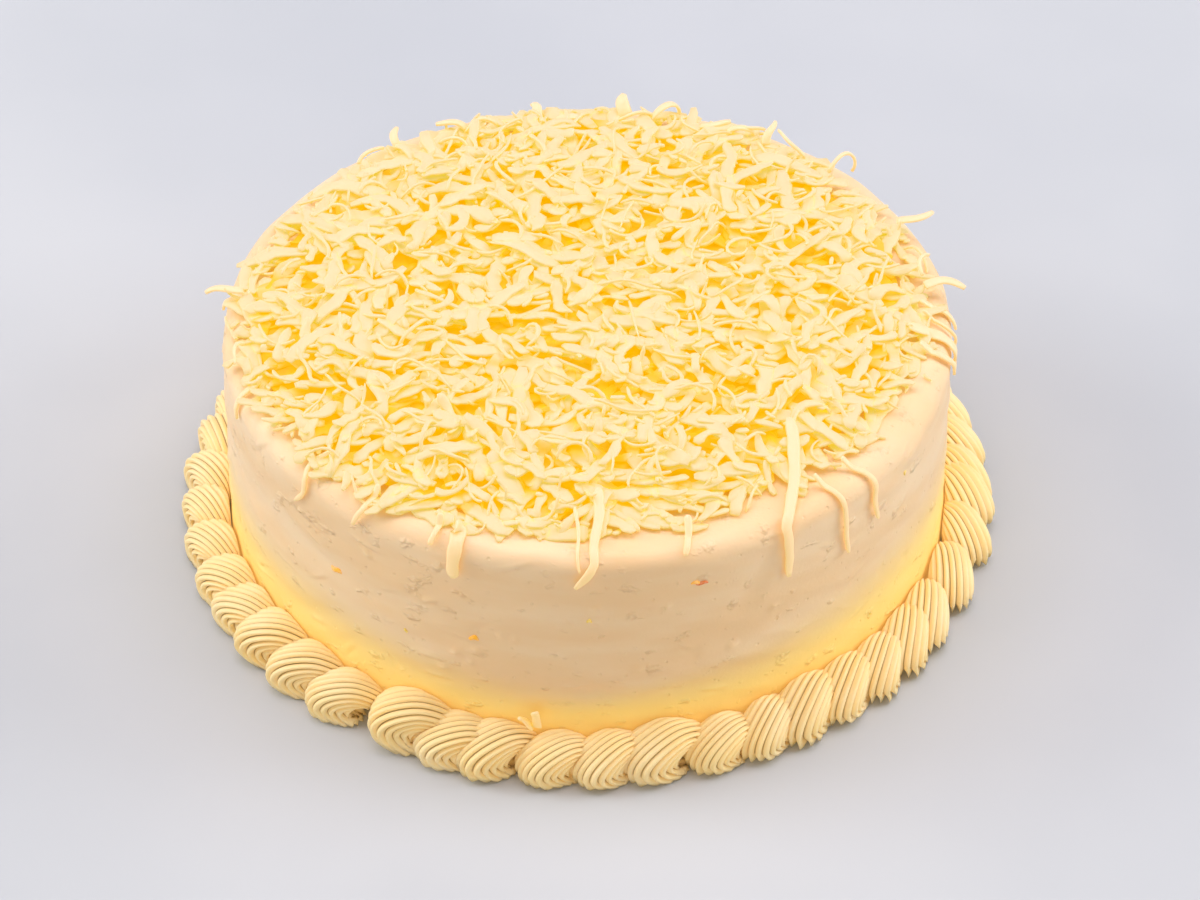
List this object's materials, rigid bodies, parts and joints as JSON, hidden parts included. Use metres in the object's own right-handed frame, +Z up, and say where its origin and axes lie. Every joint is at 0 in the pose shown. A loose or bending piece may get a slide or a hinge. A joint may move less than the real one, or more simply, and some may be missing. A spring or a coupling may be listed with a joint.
{
  "type": "frosted custard cake",
  "caption": "Round frosted custard cake with a rope of piped loops round its foot and a heap of grated cheese on top.",
  "frame": {"origin": "centre of the cake's flat underside, where it rests", "axes": "+Z up through the middle of the cake, -Y towards the side shown in the picture, +X to its right"},
  "size_m": [0.2653, 0.2634, 0.0929],
  "materials": {
    "frosting": "smooth cream buttercream, spread flat, satin",
    "piped_cream": "piped cream buttercream with tip ridges, satin",
    "cheese": "soft pale yellow grated cheese, slightly translucent"
  },
  "bodies": {
    "root": {"cake": "frosting", "piped_border": "piped_cream", "grated_cheese": "cheese"}
  },
  "joints": []
}
